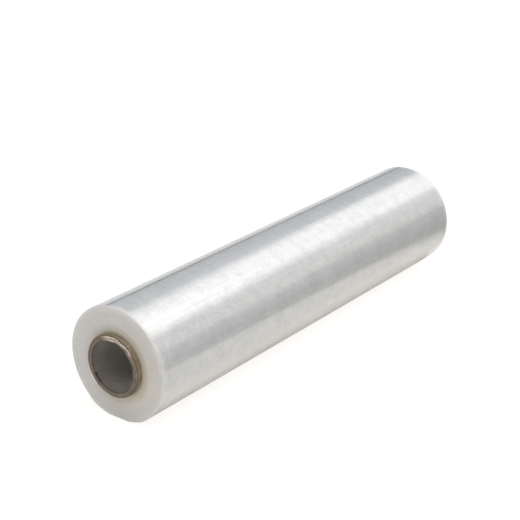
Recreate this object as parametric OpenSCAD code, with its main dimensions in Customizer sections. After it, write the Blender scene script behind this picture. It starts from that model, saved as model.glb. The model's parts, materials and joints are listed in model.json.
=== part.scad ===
// Roll of clear wrapping film wound on a paperboard tube, lying on its side.
// The roll runs along X. The origin is on the resting flat, under the middle of the roll.

/* [Core tube] */
// Inner diameter of the tube, which a spindle or a pair of hand grips fits
core_bore = 50.8; // [25.4:0.1:76.2]
// Wall of the tube, wound from many plies of board
core_wall = 5.6; // [3:0.1:10]
// How far the tube stands out of the film at each end
core_proud = 6; // [1:0.5:20]
// Outer edge of the tube's cut ends, pressed in by handling
core_edge = 0.6; // [0.2:0.1:1.2]

/* [Film] */
// Width of the film web, which is the length of the wound roll
film_width = 500; // [250:1:1000]
// Radial thickness of all the turns of film on the tube
film_build = 26.5; // [18:0.5:60]
// Step that the film's free end makes over the turn below it
tail_step = 0.3; // [0.1:0.05:0.6]
// Where the free end lies, in degrees from the top towards the back
tail_angle = 10; // [-60:1:60]

/* [Resting flat] */
// How far the soft turns are pressed in where the roll lies
flat_depth = 1.6; // [1.2:0.1:3]
// How softly the flat runs into the round
flat_ease = 0.6; // [0.2:0.1:0.8]
// Height of the swelling at each side of the flat
swell = 0.9; // [0:0.1:1.5]
// Where each swelling is highest, in degrees from the bottom
swell_angle = 32; // [28:1:45]
// How far each swelling spreads, in degrees
swell_spread = 9; // [5:1:12]

/* [Wound ends] */
// Bands of turns that show on each wound end
band_count = 8; // [4:1:10]
// How far the deepest band lies behind the outermost turns
band_depth = 0.3; // [0.1:0.1:1.5]
// Slope between one band and the next, measured across the end
band_slope = 0.5; // [0.2:0.1:1]

/* [Hidden] */

$fn = 96;
arc_step = 2.5;
spare = 1;
band_turn = 137;
press_angle = 60;
film_colour = [0.86, 0.88, 0.88];
core_colour = [0.60, 0.50, 0.38];

core_r = core_bore / 2 + core_wall;
core_len = film_width + 2 * core_proud;
film_r = core_r + film_build;
axis_z = film_r - flat_depth;
tail_at = 180 - tail_angle;
flat_at = acos(axis_z / (film_r - tail_step - flat_ease));
band_w = film_build / band_count;

// Angles in the section run from the bottom, by the back (+Y) and the top to the front.
function swelling(a) = swell * exp(-pow((a - swell_angle) / swell_spread, 2));

// Radius of the wound turns before the floor presses them: a spiral that ends in the tail
function wound_r(a, fall) = film_r - tail_step * fall / 360 + swelling(a) + swelling(360 - a);

// Smaller of two radii, with the corner between them eased away
function eased_min(a, b) = min(a, b) - pow(max(flat_ease - abs(a - b), 0), 2) / (4 * flat_ease);

function pressed_r(a, fall) =
    let (round_r = wound_r(a, fall))
    a < press_angle || a > 360 - press_angle ? eased_min(round_r, axis_z / cos(a)) : round_r;

function section_point(a, fall) =
    let (r = pressed_r(a, fall))
    [r * sin(a), axis_z - r * cos(a)];

function run_points(from, to, extra) =
    let (steps = ceil((to - from) / arc_step))
    [for (i = [0 : steps])
        let (a = from + (to - from) * i / steps)
        section_point(a, tail_at - a + extra)];

// Outline of the turns in the YZ plane; the flat is the edge that closes it
module film_section() {
    polygon(concat(
        run_points(flat_at, tail_at, 0),
        run_points(tail_at, 360 - flat_at, 360)));
}

// Depth of one band of turns behind the outermost turns
function band_level(i) = i >= band_count - 1 ? 0 : band_depth * (1 + sin(i * band_turn)) / 2;

// Recess that leaves one wound end with its bands of turns, drawn along +Z from the end face
module end_bands() {
    rotate_extrude()
        polygon(concat(
            [[core_r - spare, spare], [core_r - spare, -band_level(0)]],
            [for (i = [1 : band_count - 1], side = [-1, 1])
                [core_r + i * band_w + side * band_slope / 2,
                 -band_level(side < 0 ? i - 1 : i)]],
            [[core_r + (band_count - 1) * band_w + band_slope / 2, spare]]));
}

// Draws its children with their Z axis along the roll's axis
module along_roll() {
    translate([0, 0, axis_z])
        rotate([0, 90, 0])
            children();
}

module film_roll() {
    color(film_colour)
        difference() {
            rotate([90, 0, 90])
                linear_extrude(height = film_width, center = true)
                    film_section();
            along_roll()
                cylinder(h = film_width + 2 * spare, r = core_r, center = true);
            along_roll()
                for (end = [0, 1])
                    mirror([0, 0, end])
                        translate([0, 0, film_width / 2])
                            end_bands();
        }
}

module core_tube() {
    color(core_colour)
        along_roll()
            rotate_extrude()
                polygon([
                    [core_bore / 2, -core_len / 2],
                    [core_r - core_edge, -core_len / 2],
                    [core_r, -core_len / 2 + core_edge],
                    [core_r, core_len / 2 - core_edge],
                    [core_r - core_edge, core_len / 2],
                    [core_bore / 2, core_len / 2]]);
}

film_roll();
core_tube();
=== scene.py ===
import json
import math

import bmesh
import bpy
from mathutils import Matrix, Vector


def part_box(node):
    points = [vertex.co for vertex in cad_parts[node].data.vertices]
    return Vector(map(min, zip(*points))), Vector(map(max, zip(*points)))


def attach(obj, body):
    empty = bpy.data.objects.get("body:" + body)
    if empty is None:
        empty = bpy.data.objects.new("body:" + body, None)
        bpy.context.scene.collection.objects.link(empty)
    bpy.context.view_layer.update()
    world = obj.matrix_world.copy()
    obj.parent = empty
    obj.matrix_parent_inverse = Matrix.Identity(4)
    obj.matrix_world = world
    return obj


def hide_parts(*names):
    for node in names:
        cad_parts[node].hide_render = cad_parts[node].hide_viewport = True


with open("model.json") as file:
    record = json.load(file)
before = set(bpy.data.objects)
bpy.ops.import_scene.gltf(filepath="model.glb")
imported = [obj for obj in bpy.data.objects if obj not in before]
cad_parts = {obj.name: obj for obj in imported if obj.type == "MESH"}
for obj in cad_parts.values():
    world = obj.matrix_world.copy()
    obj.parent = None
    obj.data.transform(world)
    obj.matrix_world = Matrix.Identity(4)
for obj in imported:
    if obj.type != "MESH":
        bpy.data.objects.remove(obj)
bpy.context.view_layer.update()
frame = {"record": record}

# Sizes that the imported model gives, in metres
boreMount = next(m for m in frame["record"]["mounts"] if m["name"] == "core_bore")
boreRadius = boreMount["dims"]["r_mm"] / 1000
axisHeight = boreMount["pos_m"][2]
filmLow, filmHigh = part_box("film_roll")
tubeLow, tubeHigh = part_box("core_tube")
webWidth = filmHigh.x - filmLow.x
tubeRadius = (tubeHigh.y - tubeLow.y) / 2
tubeLength = tubeHigh.x - tubeLow.x


# Helpers for node trees: a Term is a number in a tree, and Python's signs join Terms with Math nodes

class Term:
    def __init__(self, tree, socket):
        self.tree = tree
        self.socket = socket

    def __add__(self, other):
        return calc(self.tree, "ADD", self, other)

    def __sub__(self, other):
        return calc(self.tree, "SUBTRACT", self, other)

    def __rsub__(self, other):
        return calc(self.tree, "SUBTRACT", other, self)

    def __mul__(self, other):
        return calc(self.tree, "MULTIPLY", self, other)

    def __truediv__(self, other):
        return calc(self.tree, "DIVIDE", self, other)

    def __pow__(self, other):
        return calc(self.tree, "POWER", self, other)

    __radd__ = __add__
    __rmul__ = __mul__


def feed(tree, socket, value):
    if isinstance(value, Term):
        tree.links.new(value.socket, socket)
    elif isinstance(value, bpy.types.NodeSocket):
        tree.links.new(value, socket)
    else:
        socket.default_value = value


def addNode(tree, kind, inputs=None, **settings):
    node = tree.nodes.new(kind)
    for name, value in settings.items():
        setattr(node, name, value)
    for name, value in (inputs or {}).items():
        feed(tree, node.inputs[name], value)
    return node


def calc(tree, operation, *values):
    node = addNode(tree, "ShaderNodeMath", operation=operation)
    for index, value in enumerate(values):
        feed(tree, node.inputs[index], value)
    return Term(tree, node.outputs[0])


def vector(tree, x, y, z):
    return addNode(tree, "ShaderNodeCombineXYZ", {"X": x, "Y": y, "Z": z}).outputs[0]


# Smooth step from 0 to 1 as value goes from start to end
def ramp(tree, value, start, end, low=0.0, high=1.0):
    node = addNode(tree, "ShaderNodeMapRange", interpolation_type="SMOOTHSTEP", inputs={
        "Value": value, "From Min": start, "From Max": end, "To Min": low, "To Max": high})
    return Term(tree, node.outputs["Result"])


def noise(tree, place, detail=2.0, rough=0.5, scale=1.0):
    node = addNode(tree, "ShaderNodeTexNoise", {
        "Vector": place, "Scale": scale, "Detail": detail, "Roughness": rough})
    return Term(tree, node.outputs[0])


def mixColour(tree, share, first, second):
    node = addNode(tree, "ShaderNodeMix", data_type="RGBA")
    feed(tree, node.inputs[0], share)
    feed(tree, node.inputs[6], first)
    feed(tree, node.inputs[7], second)
    return node.outputs[2]


def newTree(name, kind, inputs, outputs):
    tree = bpy.data.node_groups.new(name, kind)
    for side, sockets in (("INPUT", inputs), ("OUTPUT", outputs)):
        for label, socketType, value in sockets:
            socket = tree.interface.new_socket(name=label, in_out=side, socket_type=socketType)
            if value is not None:
                socket.default_value = value
    return tree, addNode(tree, "NodeGroupInput"), addNode(tree, "NodeGroupOutput")


def floatInputs(values):
    return [(label, "NodeSocketFloat", value) for label, value in values.items()]


# Runs a Geometry Nodes tree and keeps what it makes as a plain mesh
def meshFromTree(name, tree, values, material):
    piece = bpy.data.objects.new(name, bpy.data.meshes.new(name))
    bpy.context.scene.collection.objects.link(piece)
    modifier = piece.modifiers.new(name, "NODES")
    modifier.node_group = tree
    for item in tree.interface.items_tree:
        if item.in_out == "INPUT" and item.name in values:
            modifier[item.identifier] = values[item.name]
    seen = bpy.context.evaluated_depsgraph_get()
    made = bpy.data.meshes.new_from_object(piece.evaluated_get(seen), depsgraph=seen)
    piece.modifiers.remove(modifier)
    piece.data = made
    made.name = name
    faces = bmesh.new()
    faces.from_mesh(made)
    bmesh.ops.recalc_face_normals(faces, faces=faces.faces)
    faces.to_mesh(made)
    faces.free()
    made.materials.clear()
    made.materials.append(material)
    print(name, len(made.polygons), "faces")
    return piece


# Grid whose points carry where they belong, as named numbers of its two directions
def markedGrid(tree, columns, rows, marks):
    grid = addNode(tree, "GeometryNodeMeshGrid", {
        "Size X": 1.0, "Size Y": 1.0, "Vertices X": columns, "Vertices Y": rows})
    split = addNode(tree, "ShaderNodeSeparateXYZ", {
        "Vector": addNode(tree, "GeometryNodeInputPosition").outputs[0]})
    across = Term(tree, split.outputs["X"]) + 0.5
    up = Term(tree, split.outputs["Y"]) + 0.5
    mesh = grid.outputs["Mesh"]
    for name, rule in {"across": lambda a, u: a, **marks}.items():
        store = addNode(tree, "GeometryNodeStoreNamedAttribute", data_type="FLOAT", domain="POINT",
                        inputs={"Geometry": mesh, "Name": name})
        feed(tree, store.inputs["Value"], rule(across, up))
        mesh = store.outputs["Geometry"]
    return mesh


def mark(tree, name):
    node = addNode(tree, "GeometryNodeInputNamedAttribute", {"Name": name}, data_type="FLOAT")
    return Term(tree, node.outputs["Attribute"])


# Joins the parts, puts each point in place, closes the seams and gives the material
def finishTree(tree, parts, place, material, outlet, setup):
    joined = addNode(tree, "GeometryNodeJoinGeometry")
    for part in parts:
        tree.links.new(part, joined.inputs["Geometry"])
    placed = addNode(tree, "GeometryNodeSetPosition", {"Geometry": joined.outputs[0], "Position": place})
    mesh = placed.outputs[0]
    for name in ("across", "along", "inset", "reach"):
        removed = addNode(tree, "GeometryNodeRemoveAttribute", {"Geometry": mesh, "Name": name})
        mesh = removed.outputs[0]
    merged = addNode(tree, "GeometryNodeMergeByDistance", {
        "Geometry": mesh, "Distance": setup["mergeWithin"]})
    smooth = addNode(tree, "GeometryNodeSetShadeSmooth", {"Geometry": merged.outputs[0]}, domain="FACE")
    bend = Term(tree, addNode(tree, "GeometryNodeInputMeshEdgeAngle").outputs["Unsigned Angle"])
    sharpBend = calc(tree, "GREATER_THAN", bend, math.radians(setup["sharpFrom"]))
    sharp = addNode(tree, "GeometryNodeSetShadeSmooth", {
        "Geometry": smooth.outputs[0], "Selection": sharpBend, "Shade Smooth": False}, domain="EDGE")
    whole = addNode(tree, "GeometryNodeRealizeInstances", {"Geometry": sharp.outputs[0]})
    dressed = addNode(tree, "GeometryNodeSetMaterial", {"Geometry": whole.outputs[0], "Material": material})
    tree.links.new(dressed.outputs[0], outlet.inputs[0])


# Helpers for materials

def newMaterial(name):
    material = bpy.data.materials.new(name)
    material.use_nodes = True
    tree = material.node_tree
    return material, tree, tree.nodes["Principled BSDF"]


# Distance from the roll's axis and the place around it, from object coordinates
def aroundAxisGroup():
    tree, inlet, outlet = newTree("aroundAxis", "ShaderNodeTree", [
        ("Position", "NodeSocketVector", None), ("Axis Height", "NodeSocketFloat", axisHeight)], [
        ("Along", "NodeSocketFloat", None), ("Radius", "NodeSocketFloat", None),
        ("Sine", "NodeSocketFloat", None), ("Cosine", "NodeSocketFloat", None),
        ("Angle", "NodeSocketFloat", None)])
    split = addNode(tree, "ShaderNodeSeparateXYZ", {"Vector": inlet.outputs["Position"]})
    y = Term(tree, split.outputs["Y"])
    z = Term(tree, split.outputs["Z"]) - inlet.outputs["Axis Height"]
    radius = calc(tree, "SQRT", y * y + z * z)
    tree.links.new(split.outputs["X"], outlet.inputs["Along"])
    feed(tree, outlet.inputs["Radius"], radius)
    feed(tree, outlet.inputs["Sine"], y / radius)
    feed(tree, outlet.inputs["Cosine"], z / radius)
    feed(tree, outlet.inputs["Angle"], calc(tree, "ARCTAN2", y, z))     # from the top towards the back
    return tree


# Fine lines that run round the roll: edges of turns, die lines of the film, plies of board
def windingLinesGroup():
    tree, inlet, outlet = newTree("windingLines", "ShaderNodeTree", [
        ("Across", "NodeSocketFloat", 0.0), ("Sine", "NodeSocketFloat", 0.0),
        ("Cosine", "NodeSocketFloat", 0.0), ("Spacing", "NodeSocketFloat", 0.002),
        ("Drift", "NodeSocketFloat", 1.0)], [("Lines", "NodeSocketFloat", None)])
    across, sine, cosine, spacing, drift = (
        Term(tree, inlet.outputs[label]) for label in ("Across", "Sine", "Cosine", "Spacing", "Drift"))
    place = vector(tree, across / spacing, sine * drift, cosine * drift)
    feed(tree, outlet.inputs["Lines"], noise(tree, place, 3.0, 0.65))
    return tree


# Soft blotches and fine grain, drawn out round the roll by Stretch
def blotchesGroup():
    tree, inlet, outlet = newTree("blotches", "ShaderNodeTree", [
        ("Along", "NodeSocketFloat", 0.0), ("Radius", "NodeSocketFloat", 0.05),
        ("Sine", "NodeSocketFloat", 0.0), ("Cosine", "NodeSocketFloat", 0.0),
        ("Size", "NodeSocketFloat", 0.01), ("Stretch", "NodeSocketFloat", 1.0),
        ("Detail", "NodeSocketFloat", 2.0)], [("Blotches", "NodeSocketFloat", None)])
    along, radius, sine, cosine, size, stretch, detail = (
        Term(tree, inlet.outputs[label])
        for label in ("Along", "Radius", "Sine", "Cosine", "Size", "Stretch", "Detail"))
    turned = radius / (size * stretch)
    place = vector(tree, along / size, sine * turned, cosine * turned)
    feed(tree, outlet.inputs["Blotches"], noise(tree, place, detail, 0.6))
    return tree


aroundAxis = aroundAxisGroup()
windingLines = windingLinesGroup()
blotches = blotchesGroup()


def axisTerms(tree):
    place = addNode(tree, "ShaderNodeTexCoord").outputs["Object"]
    group = addNode(tree, "ShaderNodeGroup", node_tree=aroundAxis)
    feed(tree, group.inputs["Position"], place)
    return [Term(tree, group.outputs[label]) for label in ("Along", "Radius", "Sine", "Cosine", "Angle")]


def linesOf(tree, across, sine, cosine, spacing, drift):
    group = addNode(tree, "ShaderNodeGroup", {
        "Across": across, "Sine": sine, "Cosine": cosine, "Spacing": spacing, "Drift": drift},
        node_tree=windingLines)
    return Term(tree, group.outputs[0]) - 0.5


def blotchesOf(tree, along, radius, sine, cosine, size, stretch=1.0, detail=2.0):
    group = addNode(tree, "ShaderNodeGroup", {
        "Along": along, "Radius": radius, "Sine": sine, "Cosine": cosine, "Size": size,
        "Stretch": stretch, "Detail": detail}, node_tree=blotches)
    return Term(tree, group.outputs[0]) - 0.5


def bell(tree, value, middle, spread):
    off = (value - middle) / spread
    return calc(tree, "EXPONENT", 0 - off * off)


def shade(tree, colour, factor):
    node = addNode(tree, "ShaderNodeVectorMath", {"Scale": factor}, operation="SCALE")
    tree.links.new(colour, node.inputs[0])
    return node.outputs[0]


# Sum of the marks, each times its share
def weigh(marks, shares):
    return sum(marks[name] * share for name, share in shares.items())


# 1 straight towards the given side of the roll, in degrees from the top to the front
def towards(sine, cosine, degrees):
    turn = math.radians(degrees)
    return cosine * math.cos(turn) - sine * math.sin(turn)


# Film roll

filmSetup = {
    "tailStep": 0.0003,                       # the free end over the turn below it
    "tailAngle": 10.0,                        # degrees from the top towards the back
    "tailLift": 0.00012,                      # it curls up this much
    "tailCurl": 0.003,
    "curlLength": 0.03,
    "curlSeed": 3.0,
    "flatEase": 0.0006,                       # how softly the resting flat runs into the round
    "swell": 0.0009,                          # beside the flat
    "swellAngle": 32.0,
    "swellSpread": 9.0,
    "bandCount": 8,                           # bands of turns on each wound end
    "bandDepth": 0.0003,
    "bandSlope": 0.0005,
    "bandTurn": 137.0,
    "rippleShare": 0.3,                       # soft waves on them, against their depth
    "rippleCount": 2.2,
    "rippleAcross": 1.4,
    "rippleFade": 8,
    "edgeRound": 0.0009,
    "gaugeDepth": 0.00007,                    # rings where the web is a little thinner
    "gaugeWidth": 0.012,
    "gaugeDrift": 0.35,
    "slackDepth": 0.00016,                    # long soft hollows
    "slackWidth": 0.11,
    "slackDrift": 0.9,
    "slackSeed": 7.0,
    "columns": 320,                           # faces round the roll, and along each of its surfaces
    "sideRows": 170,
    "edgeRows": 5,
    "endRows": 40,
    "mergeWithin": 0.000002,
    "sharpFrom": 35.0,                        # degrees between two faces
    "sideColour": (0.434, 0.466, 0.466, 1),
    "sideHaze": (0.457, 0.459, 0.471, 1),     # faint drift of hue in the clear turns
    "hueTurn": (-0.16, 0.16),
    "toneMarks": {"hoops": 0.12, "wideHoops": 0.084, "pockets": 0.30, "clouds": 0.28, "streaks": 0.18},
    "dieSpacing": 0.0019,                     # hoops that the die left in the web
    "wideDie": 7,
    "pocketSize": 0.0030,                     # flat little pockets of air under the last turns
    "pocketStretch": 1.5,
    "cloudSize": 0.012,
    "cloudStretch": 1.3,
    "streakLength": 0.3,
    "streakCount": 15,
    "frostColour": (0.54, 0.54, 0.535, 1),    # the web's own edges, at both ends of the side
    "frostReach": (0.009, 0.001),
    "frostWaver": 0.006,
    "frostShare": 0.6,
    "tailPaintedShade": 0.5,                         # painted shadow: dark line along the free end's step
    "tailWidth": 0.0011,
    "tailPast": 0.0004,
    "tailWander": 0.004,
    "tailWave": 0.12,
    "tailSeed": 5.0,
    "colourTurn": (0.0011, 0.0004),           # from the end, where the side's colour gives way to the end's
    "glossTurn": (0.0022, 0.0006),            # and where its gloss does
    "endColour": (0.593, 0.575, 0.548, 1),
    # painted highlight along the outer rim of each wound end
    "endRimHighlight": (0.64, 0.625, 0.605, 1),
    "rimReach": (0.006, 0.0005),
    "boardColour": (0.52, 0.46, 0.35, 1),     # the board shows through the first turns
    "boardReach": 0.0065,
    "boardShadeSide": 120.0,                       # painted shade leans here, in degrees from the top to the front
    "boardShadeLean": 0.45,
    "seatShadeColour": (0.27, 0.225, 0.145, 1),    # painted shade where the turns meet the tube
    "seatReach": 0.0011,
    "seatShadeShare": 0.6,
    "turnSpacing": 0.0011,                    # edges of the turns
    "wideTurn": 6,
    "turnShade": 0.24,
    "turnWaver": 0.002,
    "fanCount": 9,                            # faint rays across them
    "fanAcross": 30,
    "fanShade": 0.08,
    "glintAt": -128.0,                        # painted glint beside the tube, in the same degrees
    "glintReach": (0.985, 0.995),
    "glintFrom": 0.0073,
    "glintWidth": 0.0008,
    "paintedGlintColour": (0.95, 0.95, 0.94, 1),
    "coat": 0.78,                             # gloss of the side, and how much each mark adds to it
    "coatMarks": {"hoops": 0.33, "pockets": 0.62, "clouds": 0.4, "streaks": 0.3, "frost": -0.3,
                  "tail": -0.6},
    "coatRough": 0.05,
    "coatIor": 2.0,
    "roughness": 0.20,
    "roughMarks": {"hoops": 0.12, "pockets": 0.10, "frost": 0.15, "tail": 0.12},
    "heightMarks": {"hoops": 0.25, "pockets": 1.0, "clouds": 1.2},
    "endRough": 0.5,
    "turnHeight": 0.6,
    "bumpDistance": 0.0006,
}


def filmTree(setup, material):
    topFall = 1 - setup["tailAngle"] / 360
    filmRadius = filmHigh.z - axisHeight + setup["tailStep"] * topFall
    sizes = {
        "Web Width": webWidth, "Film Radius": filmRadius, "Tube Radius": tubeRadius,
        "Axis Height": axisHeight, "Edge Round": setup["edgeRound"], "Tail Step": setup["tailStep"],
        "Flat Ease": setup["flatEase"], "Swell": setup["swell"], "Band Depth": setup["bandDepth"],
        "Gauge Depth": setup["gaugeDepth"], "Slack Depth": setup["slackDepth"],
        "Tail Lift": setup["tailLift"]}
    tree, inlet, outlet = newTree("woundFilm", "GeometryNodeTree", floatInputs(sizes),
                                  [("Geometry", "NodeSocketGeometry", None)])
    size = {label: Term(tree, inlet.outputs[label]) for label in sizes}
    halfWidth = size["Web Width"] / 2
    roundOff = size["Edge Round"]
    columns = setup["columns"]

    parts = [
        markedGrid(tree, columns + 2, setup["sideRows"] + 1, {
            "along": lambda a, u: (u - 0.5) * 2 * (halfWidth - roundOff),
            "inset": lambda a, u: 0.0,
            "reach": lambda a, u: 1.0}),
        markedGrid(tree, columns + 2, 2, {
            "along": lambda a, u: (u - 0.5) * 2 * halfWidth,
            "inset": lambda a, u: 0.0,
            "reach": lambda a, u: 0.0})]
    for end in (-1, 1):
        parts.append(markedGrid(tree, columns + 2, setup["edgeRows"] + 1, {
            "along": lambda a, u: (halfWidth - roundOff
                                   + roundOff * calc(tree, "SINE", u * (math.pi / 2))) * end,
            "inset": lambda a, u: roundOff - roundOff * calc(tree, "COSINE", u * (math.pi / 2)),
            "reach": lambda a, u: 1.0}))
        parts.append(markedGrid(tree, columns + 2, setup["endRows"] + 1, {
            "along": lambda a, u: halfWidth * end,
            "inset": lambda a, u: roundOff * 1.0,
            "reach": lambda a, u: u}))

    # The columns run once round from the free end; one more column closes the step there
    column = calc(tree, "ROUND", mark(tree, "across") * (columns + 1))
    share = calc(tree, "MINIMUM", column / columns, 1.0)
    past = calc(tree, "GREATER_THAN", column, columns + 0.5)
    fall = calc(tree, "MAXIMUM", 1 - share, past)
    angle = share * (2 * math.pi) + math.radians(180 - setup["tailAngle"])
    sine = calc(tree, "SINE", angle)
    cosine = calc(tree, "COSINE", angle)
    along = mark(tree, "along")

    # The round of the turns, with the swelling beside the flat, gauge rings and slack places
    fromBottom = calc(tree, "DEGREES", calc(tree, "ARCCOSINE", cosine))
    offSwell = (fromBottom - setup["swellAngle"]) / setup["swellSpread"]
    swell = size["Swell"] * calc(tree, "EXPONENT", 0 - offSwell * offSwell)
    gaugeDrift, slackDrift = setup["gaugeDrift"], setup["slackDrift"]
    ringPlace = vector(tree, along / setup["gaugeWidth"], sine * gaugeDrift, cosine * gaugeDrift)
    slackPlace = vector(tree, along / setup["slackWidth"] + setup["slackSeed"],
                        sine * slackDrift, cosine * slackDrift)
    relief = (size["Gauge Depth"] * noise(tree, ringPlace, 3.0, 0.6)
              + size["Slack Depth"] * noise(tree, slackPlace, 2.0, 0.5))
    curlPlace = vector(tree, along / setup["curlLength"], setup["curlSeed"], 0.0)
    flutter = noise(tree, curlPlace, 2.0) + 0.5
    curled = calc(tree, "EXPONENT", 0 - fall * (2 * math.pi * filmRadius / setup["tailCurl"]))
    turnRadius = (size["Film Radius"] - size["Tail Step"] * fall + swell - relief
                  + size["Tail Lift"] * curled * flutter)
    floorRadius = size["Axis Height"] / calc(tree, "MAXIMUM", cosine, 0.3)
    outer = calc(tree, "SMOOTH_MIN", turnRadius, floorRadius, size["Flat Ease"]) - mark(tree, "inset")
    reach = mark(tree, "reach")
    radius = size["Tube Radius"] + (outer - size["Tube Radius"]) * reach

    # Bands of turns on the wound ends
    build = filmRadius - tubeRadius
    bandWidth = build / setup["bandCount"]
    lastBand = setup["bandCount"] - 1
    bands = (radius - size["Tube Radius"]) / bandWidth
    border = calc(tree, "ROUND", bands)

    def bandLevel(band):
        wave = (calc(tree, "SINE", band * math.radians(setup["bandTurn"])) + 1) / 2
        return wave * calc(tree, "LESS_THAN", band, lastBand - 0.5)

    inner = bandLevel(calc(tree, "MAXIMUM", border - 1, 0.0))
    toNext = calc(tree, "MINIMUM", calc(
        tree, "MAXIMUM", (bands - border) * (bandWidth / setup["bandSlope"]) + 0.5, 0.0), 1.0)
    level = inner + (bandLevel(border) - inner) * toNext
    onEnd = calc(tree, "LESS_THAN", reach, 0.999) * calc(tree, "GREATER_THAN", reach, 0.0001)
    count = setup["rippleCount"]
    ripplePlace = vector(tree, sine * count, cosine * count, bands * setup["rippleAcross"])
    rippleFade = calc(tree, "MINIMUM", (1 - reach) * setup["rippleFade"], 1.0)
    ripple = noise(tree, ripplePlace, 2.0, 0.5) * rippleFade * setup["rippleShare"]
    depth = size["Band Depth"] * (level + ripple) * onEnd
    x = along - calc(tree, "SIGN", along) * depth
    place = vector(tree, x, radius * sine, size["Axis Height"] - radius * cosine)
    finishTree(tree, parts, place, material, outlet, setup)
    return tree, sizes


def filmMaterial(setup):
    material, tree, shader = newMaterial("clearFilm")
    along, radius, sine, cosine, angle = axisTerms(tree)
    half = webWidth / 2
    outerRadius = filmHigh.z - axisHeight
    fromMiddle = calc(tree, "ABSOLUTE", along)

    def fromEnd(value, reach):
        return ramp(tree, value, half - reach[0], half - reach[1])

    onEnd = fromEnd(fromMiddle, setup["colourTurn"])
    onRound = fromEnd(fromMiddle, setup["glossTurn"])

    # The side: hoops of die lines, pockets of air, clouds, and streaks along the roll
    hoops = linesOf(tree, along, sine, cosine, setup["dieSpacing"], 2.0)
    wideHoops = linesOf(tree, along, sine, cosine, setup["dieSpacing"] * setup["wideDie"], 0.8)
    pockets = blotchesOf(tree, along, radius, sine, cosine,
                         setup["pocketSize"], setup["pocketStretch"], 3.0)
    clouds = blotchesOf(tree, along, radius, sine, cosine,
                        setup["cloudSize"], setup["cloudStretch"], 3.0)
    count = setup["streakCount"]
    streakPlace = vector(tree, along / setup["streakLength"], sine * count, cosine * count)
    streaks = noise(tree, streakPlace, 2.0, 0.6) - 0.5
    # Painted shadow of the free end's step: a dark line along the tail, broken up by clouds and hoops
    tailGap = (angle - math.radians(setup["tailAngle"])) * outerRadius
    wave = noise(tree, vector(tree, along / setup["tailWave"], setup["tailSeed"], 0.0)) - 0.5
    tail = (bell(tree, tailGap, wave * setup["tailWander"] + setup["tailPast"], setup["tailWidth"])
            * (0.85 + clouds * 1.6 + wideHoops * 0.8))
    frost = fromEnd(fromMiddle + hoops * setup["frostWaver"], setup["frostReach"])
    marks = {"hoops": hoops, "wideHoops": wideHoops, "pockets": pockets, "clouds": clouds,
             "streaks": streaks, "frost": frost, "tail": tail}
    sideTone = 1 + weigh(marks, setup["toneMarks"])
    hue = ramp(tree, clouds + pockets * 0.7, *setup["hueTurn"])
    side = mixColour(tree, hue, setup["sideColour"], setup["sideHaze"])
    side = mixColour(tree, frost * setup["frostShare"], side, setup["frostColour"])
    # the tail line darkens the side's colour as a painted shadow
    side = shade(tree, side, sideTone * (1 - tail * setup["tailPaintedShade"]))

    # The wound ends: edges of the turns, the board showing through by the tube, painted shade beside the
    # tube, a painted highlight on the rim and a painted glint
    fromTube = calc(tree, "MAXIMUM", radius - tubeRadius, 0.0)
    turns = linesOf(tree, radius, sine, cosine, setup["turnSpacing"], 1.2)
    wideTurns = linesOf(tree, radius, sine, cosine, setup["turnSpacing"] * setup["wideTurn"], 0.6)
    count = setup["fanCount"]
    fan = noise(tree, vector(tree, sine * count, cosine * count, radius * setup["fanAcross"]), 2.0) - 0.5
    waver = turns * setup["turnWaver"]
    rimFrom, rimTo = setup["rimReach"]
    # Painted highlight: the end gets paler towards its outer rim
    rimHighlight = ramp(tree, radius + waver, outerRadius - rimFrom, outerRadius - rimTo)
    end = mixColour(tree, rimHighlight, setup["endColour"], setup["endRimHighlight"])
    # Painted shade: the board's halo reaches further on the side away from the light
    reach = 1 + towards(sine, cosine, setup["boardShadeSide"]) * setup["boardShadeLean"]
    halo = calc(tree, "EXPONENT", 0 - fromTube / (reach * setup["boardReach"]))
    end = mixColour(tree, halo * (1 + fan * 0.5), end, setup["boardColour"])
    # Painted shade in the crease where the turns meet the tube
    seatShade = calc(tree, "EXPONENT", 0 - (fromTube / setup["seatReach"]) ** 2)
    end = mixColour(tree, seatShade * setup["seatShadeShare"], end, setup["seatShadeColour"])
    endTone = 1 + (turns + wideTurns * 0.8) * setup["turnShade"] + fan * setup["fanShade"]
    end = shade(tree, end, endTone)
    # Painted glint: a small bright spot on the end face beside the tube
    glint = (ramp(tree, towards(sine, cosine, setup["glintAt"]), *setup["glintReach"])
             * bell(tree, fromTube + waver, setup["glintFrom"], setup["glintWidth"]))
    end = mixColour(tree, glint, end, setup["paintedGlintColour"])

    feed(tree, shader.inputs["Base Color"], mixColour(tree, onEnd, side, end))
    sideRough = setup["roughness"] + weigh(marks, setup["roughMarks"])
    rough = sideRough + (setup["endRough"] - sideRough) * onRound
    feed(tree, shader.inputs["Roughness"], rough)
    shader.inputs["IOR"].default_value = 1.5
    gloss = setup["coat"] + weigh(marks, setup["coatMarks"])
    gloss = calc(tree, "MINIMUM", calc(tree, "MAXIMUM", gloss, 0.0), 1.0) * (1 - onRound)
    feed(tree, shader.inputs["Coat Weight"], gloss)
    shader.inputs["Coat Roughness"].default_value = setup["coatRough"]
    shader.inputs["Coat IOR"].default_value = setup["coatIor"]
    sideHeight = weigh(marks, setup["heightMarks"])
    bump = addNode(tree, "ShaderNodeBump", {
        "Strength": 1.0, "Distance": setup["bumpDistance"],
        "Height": sideHeight + (turns * setup["turnHeight"] - sideHeight) * onEnd})
    feed(tree, shader.inputs["Normal"], bump.outputs[0])
    return material


# Core tube

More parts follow.
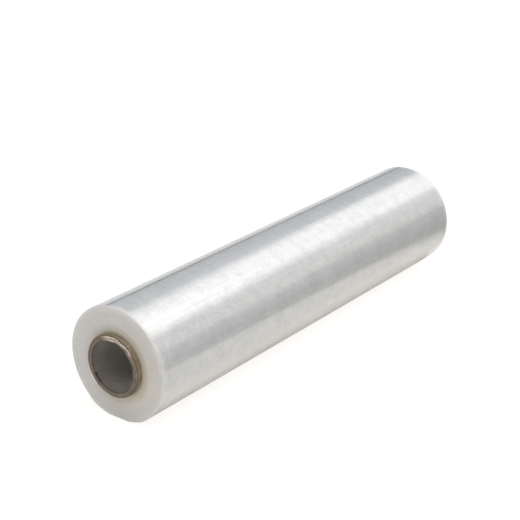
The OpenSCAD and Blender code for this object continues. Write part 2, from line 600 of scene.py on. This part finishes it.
tubeSetup = {
    "edgeRound": 0.0006,                      # edges of the cut, pressed round unevenly
    "edgeCount": 4,
    "edgeWave": 2.4,
    "edgeLeast": 0.3,
    "rimShare": 0.6,                          # the bore's edge against the outer one
    "plyCount": 9,
    "plyDepth": 0.00012,
    "gapDepth": 0.00035,                      # a ply that has come open on the cut
    "gapAt": 0.52,                            # share of the wall
    "gapWidth": 0.055,
    "gapWander": 0.08,
    "gapCount": 1.3,
    "gapSeed": 4.0,
    "gapTurn": (0.4, 0.6),
    "fuzz": 0.0003,
    "fuzzCount": 22,
    "columns": 288,                           # faces round the tube, and along each of its surfaces
    "wallRows": 80,
    "cutRows": 30,
    "mergeWithin": 0.000002,
    "sharpFrom": 50.0,                        # degrees between two faces
    "cut": (0.165, 0.126, 0.094, 1),
    "cutMarks": {"plies": 1.7, "stains": 1.3, "fray": 0.8},
    "cutTurn": (0.0007, 0.0016),              # from the mouth, where the cut's colour gives way
    "cutEdgeShade": (0.05, 0.036, 0.026, 1),       # painted shade along both edges of the cut and between its lips
    "edgeShadeWidths": (0.15, 0.16),
    "edgeShadeShare": 0.75,
    "plyHighlight": (0.80, 0.70, 0.58, 1),          # painted highlight on two raised plies over the top
    "highlightBreaks": (-0.15, 0.0, 0.15, 1.0),
    # painted sheen along the raised plies over the top and front
    "plySheen": (0.40, 0.30, 0.215, 1),
    "plySheenShare": 0.65,
    "lipShares": (0.30, 0.74),                # where two plies stand up, in shares of the wall
    "lipWidths": (0.11, 0.15),
    "lipWander": {"stains": 0.45, "fray": 0.9},
    "lipGapShade": 0.09,
    "lipsFrom": (-34, 2),                     # degrees from the top towards the front
    "lipsTo": (60, 130),
    "innerHighlight": (5, 35),                      # each lip's painted highlight reaches up to here
    "outerHighlight": (38, 62),
    "tornShade": (0.035, 0.028, 0.022, 1),         # painted shade of a notch where a ply is torn away at the bore
    "tornAt": -130.0,
    "tornReach": (0.974, 0.988),
    "tornWall": (0.45, 0.1),
    "tornBore": (0.0035, 0.001),
    "outside": (0.235, 0.185, 0.125, 1),
    "outsideMarks": {"fray": 1.6, "stains": 1.0},
    "lining": (0.63, 0.60, 0.552, 1),
    "liningNearMouth": (0.228, 0.21, 0.19, 1),    # darker near the mouths: the lining is painted paler deeper in, against the bore's shade
    "mouthReach": 0.055,
    "boreTurn": (0.02, 0.10),                 # share of the wall, where the lining gives way
    "wallMarks": {"grain": 0.5, "stains": 0.7},
    "plySpacing": 0.0007,
    "grainSize": 0.0007,
    "stainSize": 0.012,
    "fraySize": 0.0034,
    "seamPitch": 0.085,                       # spiral seam of the last ply
    "seamWidth": 0.0006,
    "seamShade": 0.1,
    "roughness": 0.72,
    "bumpDistance": 0.0002,
    "bumpStrength": 0.6,
}


def tubeTree(setup, material):
    sizes = {
        "Length": tubeLength, "Bore Radius": boreRadius, "Outer Radius": tubeRadius,
        "Axis Height": axisHeight, "Edge Round": setup["edgeRound"], "Ply Depth": setup["plyDepth"],
        "Gap Depth": setup["gapDepth"], "Fuzz": setup["fuzz"]}
    tree, inlet, outlet = newTree("plyTube", "GeometryNodeTree", floatInputs(sizes),
                                  [("Geometry", "NodeSocketGeometry", None)])
    size = {label: Term(tree, inlet.outputs[label]) for label in sizes}
    halfLength = size["Length"] / 2
    columns = setup["columns"]
    parts = [
        markedGrid(tree, columns + 1, setup["wallRows"] + 1, {
            "along": lambda a, u: (u - 0.5) * 2 * halfLength, "reach": lambda a, u: 0.0}),
        markedGrid(tree, columns + 1, setup["wallRows"] + 1, {
            "along": lambda a, u: (u - 0.5) * 2 * halfLength, "reach": lambda a, u: 1.0})]
    for end in (-1, 1):
        parts.append(markedGrid(tree, columns + 1, setup["cutRows"] + 1, {
            "along": lambda a, u: halfLength * end, "reach": lambda a, u: u}))

    angle = mark(tree, "across") * (2 * math.pi)
    sine = calc(tree, "SINE", angle)
    cosine = calc(tree, "COSINE", angle)
    along = mark(tree, "along")
    reach = mark(tree, "reach")
    wall = tubeRadius - boreRadius
    fromBore = reach * wall
    fromOutside = wall - fromBore
    onCut = calc(tree, "GREATER_THAN", calc(tree, "ABSOLUTE", along), tubeLength / 2 - 0.0001)

    # Edges of the cut, pressed round by handling
    count = setup["edgeCount"]
    evenness = noise(tree, vector(tree, sine * count, cosine * count, along * 40), 3.0)
    softness = evenness * setup["edgeWave"] + (1 - setup["edgeWave"] / 2)
    roundOff = size["Edge Round"] * calc(tree, "MAXIMUM", softness, setup["edgeLeast"])
    rimRound = roundOff * setup["rimShare"]
    overEdge = calc(tree, "MAXIMUM", 1 - fromOutside / roundOff, 0.0)
    overRim = calc(tree, "MAXIMUM", 1 - fromBore / rimRound, 0.0)
    drop = roundOff * (overEdge * overEdge) + rimRound * (overRim * overRim)
    plyWave = calc(tree, "SINE", reach * (setup["plyCount"] * 2 * math.pi)) * 0.5 + 0.5
    offGap = (reach - setup["gapAt"] - (softness - 1) * setup["gapWander"]) / setup["gapWidth"]
    count = setup["gapCount"]
    gapPlace = vector(tree, sine * count + setup["gapSeed"], cosine * count, 0.0)
    gapOpen = ramp(tree, noise(tree, gapPlace), *setup["gapTurn"])
    gap = calc(tree, "EXPONENT", 0 - offGap * offGap) * gapOpen
    count = setup["fuzzCount"]
    fuzzPlace = vector(tree, sine * count, cosine * count, reach * 5 + along * 3)
    fuzz = noise(tree, fuzzPlace, 3.0, 0.7)
    depth = (drop + size["Ply Depth"] * plyWave + size["Gap Depth"] * gap
             + size["Fuzz"] * fuzz) * onCut
    x = along - calc(tree, "SIGN", along) * depth
    radius = size["Bore Radius"] + fromBore
    place = vector(tree, x, radius * sine, size["Axis Height"] - radius * cosine)
    finishTree(tree, parts, place, material, outlet, setup)
    return tree, sizes


def tubeMaterial(setup):
    material, tree, shader = newMaterial("woundBoard")
    along, radius, sine, cosine, angle = axisTerms(tree)
    half = tubeLength / 2
    share = (radius - boreRadius) / (tubeRadius - boreRadius)
    fromMouth = half - calc(tree, "ABSOLUTE", along)
    front = 0 - calc(tree, "DEGREES", angle)
    inside = ramp(tree, share, *setup["boreTurn"], 1.0, 0.0)
    onCut = ramp(tree, fromMouth, *setup["cutTurn"], 1.0, 0.0)

    grain = blotchesOf(tree, along, radius, sine, cosine, setup["grainSize"], 2.0, 4.0)
    stains = blotchesOf(tree, along, radius, sine, cosine, setup["stainSize"], 1.0, 3.0)
    fray = blotchesOf(tree, along, radius, sine, cosine, setup["fraySize"], 2.2, 4.0)
    plies = linesOf(tree, radius, sine, cosine, setup["plySpacing"], 1.5)
    marks = {"grain": grain, "stains": stains, "fray": fray, "plies": plies}
    turned = calc(tree, "FRACT", along / setup["seamPitch"] + angle / (2 * math.pi) + 10.0)
    seam = bell(tree, turned, 0.5, setup["seamWidth"] / setup["seamPitch"])

    # The cut: brown plies, two of them painted with highlights over the top, painted shade along its edges,
    # and painted shade where one is torn out at the bore
    innerAt, outerAt = setup["lipShares"]
    innerWidth, outerWidth = setup["lipWidths"]
    wander = share + weigh(marks, setup["lipWander"])
    over = ramp(tree, front, *setup["lipsFrom"]) * ramp(tree, front, *setup["lipsTo"], 1.0, 0.0)
    innerLip = bell(tree, wander, innerAt, innerWidth) * over
    outerLip = bell(tree, wander, outerAt, outerWidth) * over
    gap = bell(tree, wander, (innerAt + outerAt) / 2, setup["lipGapShade"]) * over
    boreEdge, outerEdge = setup["edgeShadeWidths"]
    # Painted shade along the bore's edge, the outer edge and the gap between the lips
    edgeShade = bell(tree, share, 0.0, boreEdge) + bell(tree, share, 1.0, outerEdge) + gap
    edgeShade = calc(tree, "MINIMUM", edgeShade * setup["edgeShadeShare"], 1.0)
    # Painted highlight: the lips turn pale over the top, where the light falls
    lipHighlight = (innerLip * ramp(tree, front, *setup["innerHighlight"], 1.0, 0.0)
           + outerLip * ramp(tree, front, *setup["outerHighlight"], 1.0, 0.0))
    lipHighlight = lipHighlight * ramp(tree, fray, *setup["highlightBreaks"])
    # Painted shade of the torn notch, on the cut and just inside the bore
    tornShade = ramp(tree, towards(sine, cosine, setup["tornAt"]) + fray * 0.01, *setup["tornReach"])
    tornCut = tornShade * ramp(tree, share + grain * 0.4, *setup["tornWall"])
    tornLining = tornShade * ramp(tree, fromMouth + fray * 0.006, *setup["tornBore"])
    cut = mixColour(tree, edgeShade, setup["cut"], setup["cutEdgeShade"])
    cut = mixColour(tree, (innerLip + outerLip) * setup["plySheenShare"], cut, setup["plySheen"])
    cut = shade(tree, cut, 1 + weigh(marks, setup["cutMarks"]))
    cut = mixColour(tree, calc(tree, "MINIMUM", lipHighlight, 1.0), cut, setup["plyHighlight"])
    cut = mixColour(tree, tornCut, cut, setup["tornShade"])

    # Painted light: the lining gets paler away from the mouths, where the bore is in shade
    lining = mixColour(tree, ramp(tree, fromMouth, 0.0, setup["mouthReach"]),
                       setup["liningNearMouth"], setup["lining"])
    lining = mixColour(tree, tornLining * 0.8, lining, setup["tornShade"])
    walls = mixColour(tree, inside, setup["outside"], lining)
    walls = shade(tree, walls, 1 + weigh(marks, setup["outsideMarks"]) * (1 - inside))
    walls = shade(tree, walls, (1 + weigh(marks, setup["wallMarks"])) * (1 - seam * setup["seamShade"]))
    feed(tree, shader.inputs["Base Color"], mixColour(tree, onCut, walls, cut))
    feed(tree, shader.inputs["Roughness"], setup["roughness"] + grain * 0.2 - lipHighlight * 0.1)
    bump = addNode(tree, "ShaderNodeBump", {
        "Strength": setup["bumpStrength"], "Distance": setup["bumpDistance"],
        "Height": grain + (plies + lipHighlight) * onCut - seam * 0.6})
    feed(tree, shader.inputs["Normal"], bump.outputs[0])
    return material


# Stage: floor, light, camera

stageSetup = {
    "floorSize": 14.0,
    "floorRough": 0.9,
    "floorColour": (0.61, 0.605, 0.59, 1),    # what the floor gives to the roll
    "floorLight": (0.385, 0.37, 0.35, 1),
    "seenColour": (0.20, 0.198, 0.195, 1),    # what the camera sees of it, so that shadows stay faint
    "seenLight": (0.88, 0.865, 0.845, 1),
    "glossFront": (1.075, 1.01, 0.93, 1),     # the floor as the gloss of the roll shows it
    "glossBack": (0.86, 0.85, 0.835, 1),
    "glossTurn": (-0.05, 0.05),
    "cardHeight": 0.0002,
    "shadeLine": ((-0.45, -0.372), (0.36, -0.083)),  # past this line it is dark
    "shadeFade": (-0.042, 0.042),
    "underRollShadow": (0.026, 0.064, 0.47, 1.0),   # and a little under the roll: painted shadow
    "underEnds": (-0.01, 0.02),
    "clothBack": 0.235,                       # pale cloth of the light tent, behind the roll and in front
    "clothFront": 0.86,
    "clothTurn": (8, 50),                     # degrees from straight up, + towards the front
    "clothHem": (68, 82),                     # it gets dark towards the floor in front
    "hemShare": 0.22,                         # what is left of its light there
    "clothFold": (65.0, 2.3, 0.12),           # a pale fold just above: angle, width and light
    "hemBack": 0.42,                          # paler behind
    "hemBackTurn": (-89, -76),
    "clothEnd": (0.42, 0.10),                 # at the near end of the roll, from the back to the front
    "clothEndTurn": (-60, 60),
    "endTurn": (-0.60, -0.40),
    "endLight": 1.9,                          # and a soft lamp there, over the back
    "endFrom": -0.64,
    "endLength": 0.26,
    "endAngle": -38.0,
    "endSpread": 20.0,
    "topLight": 1.77,                         # wide softbox on top
    "topBack": (-33, -13),
    "topFront": (24, 46),
    "topSkew": (-4, 5),                       # its edge in front runs a little across the roll
    "skewTurn": (0.60, 0.84),
    "keyLight": 3.2,                          # smaller lamp over the near half
    "keyAngle": 14.0,
    "keySpread": 20.0,
    "keyReach": 0.5,                          # share of the way from straight up to along the roll
    "keyLength": 0.2,
    "backTint": (0.85, 1.0, 1.11, 1),
    "frontTint": (1.02, 0.995, 0.99, 1),
    "tintTurn": (-45, -18),
    "tintHem": (-84, -72),
    "hemTint": (1.03, 1.0, 0.95, 1),
    "hemTurn": (40, 60),
}


def flatPanel(name, half, height, material):
    corners = [(-half, -half, height), (half, -half, height), (half, half, height), (-half, half, height)]
    mesh = bpy.data.meshes.new(name)
    mesh.from_pydata(corners, [], [range(len(corners))])
    mesh.materials.append(material)
    panel = bpy.data.objects.new(name, mesh)
    bpy.context.scene.collection.objects.link(panel)
    return panel


# The sky is a half-round light tent along the roll: cloth all round, a wide softbox and a key lamp on top
def makeTent(setup):
    world = bpy.data.worlds.new("lightTent")
    bpy.context.scene.world = world
    world.use_nodes = True
    tree = world.node_tree
    split = addNode(tree, "ShaderNodeSeparateXYZ", {
        "Vector": addNode(tree, "ShaderNodeTexCoord").outputs["Generated"]})
    along = Term(tree, split.outputs["X"])
    front = 0 - Term(tree, split.outputs["Y"])
    fromTop = calc(tree, "DEGREES", calc(tree, "ARCTAN2", front, Term(tree, split.outputs["Z"])))
    skewed = fromTop + ramp(tree, along, *setup["skewTurn"], *setup["topSkew"])
    topLight = ramp(tree, fromTop, *setup["topBack"]) * ramp(tree, skewed, *setup["topFront"], 1.0, 0.0)
    keyLight = (bell(tree, skewed, setup["keyAngle"], setup["keySpread"])
                * bell(tree, along, setup["keyReach"], setup["keyLength"]))
    cloth = ramp(tree, fromTop, *setup["clothTurn"], setup["clothBack"], setup["clothFront"])
    foldAt, foldWidth, foldLight = setup["clothFold"]
    cloth = (cloth + ramp(tree, fromTop, *setup["hemBackTurn"], setup["hemBack"], 0.0)
             + bell(tree, fromTop, foldAt, foldWidth) * foldLight)
    hem = ramp(tree, fromTop, *setup["clothHem"], 1.0, setup["hemShare"])
    tent = cloth * hem + topLight * setup["topLight"] + keyLight * setup["keyLight"]
    nearEnd = ramp(tree, along, *setup["endTurn"], 1.0, 0.0)
    endLight = (bell(tree, fromTop, setup["endAngle"], setup["endSpread"])
                * bell(tree, along, setup["endFrom"], setup["endLength"]))
    endTent = ramp(tree, fromTop, *setup["clothEndTurn"], *setup["clothEnd"]) + endLight * setup["endLight"]
    level = tent + (endTent - tent) * nearEnd
    cool = ramp(tree, fromTop, *setup["tintTurn"], 1.0, 0.0) * ramp(tree, fromTop, *setup["tintHem"])
    atHem = ramp(tree, fromTop, *setup["hemTurn"])
    tint = mixColour(tree, atHem, setup["frontTint"], setup["hemTint"])
    tint = mixColour(tree, cool, tint, setup["backTint"])
    seen = addNode(tree, "ShaderNodeLightPath").outputs["Is Camera Ray"]
    backdrop = tree.nodes["Background"]
    feed(tree, backdrop.inputs["Color"], mixColour(tree, seen, tint, (1, 1, 1, 1)))
    feed(tree, backdrop.inputs["Strength"], level + (1 - level) * seen)


def makeStage(setup):
    half = setup["floorSize"] / 2
    material, tree, shader = newMaterial("paleFloor")
    seen = addNode(tree, "ShaderNodeLightPath").outputs["Is Camera Ray"]
    colour = mixColour(tree, seen, setup["floorColour"], setup["seenColour"])
    light = mixColour(tree, seen, setup["floorLight"], setup["seenLight"])
    feed(tree, shader.inputs["Base Color"], colour)
    feed(tree, shader.inputs["Emission Color"], light)
    shader.inputs["Emission Strength"].default_value = 1.0
    shader.inputs["Roughness"].default_value = setup["floorRough"]
    shader.inputs["Specular IOR Level"].default_value = 0.2
    flatPanel("floor", half, 0.0, material)

    # A card just over the floor that only reflections see: dark in front, and a painted shadow under the
    # roll
    card, tree, shader = newMaterial("glossCard")
    split = addNode(tree, "ShaderNodeSeparateXYZ", {
        "Vector": addNode(tree, "ShaderNodeTexCoord").outputs["Object"]})
    x, y = Term(tree, split.outputs["X"]), Term(tree, split.outputs["Y"])
    (nearX, nearY), (farX, farY) = setup["shadeLine"]
    run = math.hypot(farX - nearX, farY - nearY)
    past = (x - nearX) * ((farY - nearY) / run) - (y - nearY) * ((farX - nearX) / run)
    before, after = setup["underEnds"]
    # painted shadow under the roll and fading out past its ends
    under = calc(tree, "MAXIMUM", ramp(tree, calc(tree, "ABSOLUTE", y), *setup["underRollShadow"]),
                 ramp(tree, calc(tree, "ABSOLUTE", x), webWidth / 2 + before, webWidth / 2 + after))
    shader.inputs["Base Color"].default_value = (0, 0, 0, 1)
    shader.inputs["Specular IOR Level"].default_value = 0.0
    light = mixColour(tree, ramp(tree, y, *setup["glossTurn"]), setup["glossFront"], setup["glossBack"])
    feed(tree, shader.inputs["Emission Color"], light)
    feed(tree, shader.inputs["Emission Strength"], under * ramp(tree, past, *setup["shadeFade"], 1.0, 0.0))
    panel = flatPanel("glossCard", half, setup["cardHeight"], card)
    panel.visible_camera = panel.visible_diffuse = panel.visible_shadow = False
    makeTent(setup)


cameraSetup = {
    "place": (-1.0488, -0.7788, 0.6173),
    "forward": (0.73328, 0.56264, -0.38175),
    "lens": 93.46,            # from the fit of the photograph's outline, on a 36 mm sensor
}


def makeCamera(setup):
    lens = bpy.data.cameras.new("photoView")
    lens.sensor_width = 36
    lens.lens = setup["lens"]
    camera = bpy.data.objects.new("photoView", lens)
    bpy.context.scene.collection.objects.link(camera)
    camera.location = setup["place"]
    camera.rotation_mode = "QUATERNION"
    camera.rotation_quaternion = Vector(setup["forward"]).to_track_quat("-Z", "Y")
    bpy.context.scene.camera = camera
    bpy.context.scene.view_settings.view_transform = "Standard"


makeCamera(cameraSetup)
makeStage(stageSetup)
print("camera and stage are in place")

clearFilm = filmMaterial(filmSetup)
roll = meshFromTree("filmRoll", *filmTree(filmSetup, clearFilm), clearFilm)
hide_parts("film_roll")
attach(roll, "root")

woundBoard = tubeMaterial(tubeSetup)
tube = meshFromTree("coreTube", *tubeTree(tubeSetup, woundBoard), woundBoard)
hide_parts("core_tube")
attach(tube, "root")
print("the roll and its tube are made")
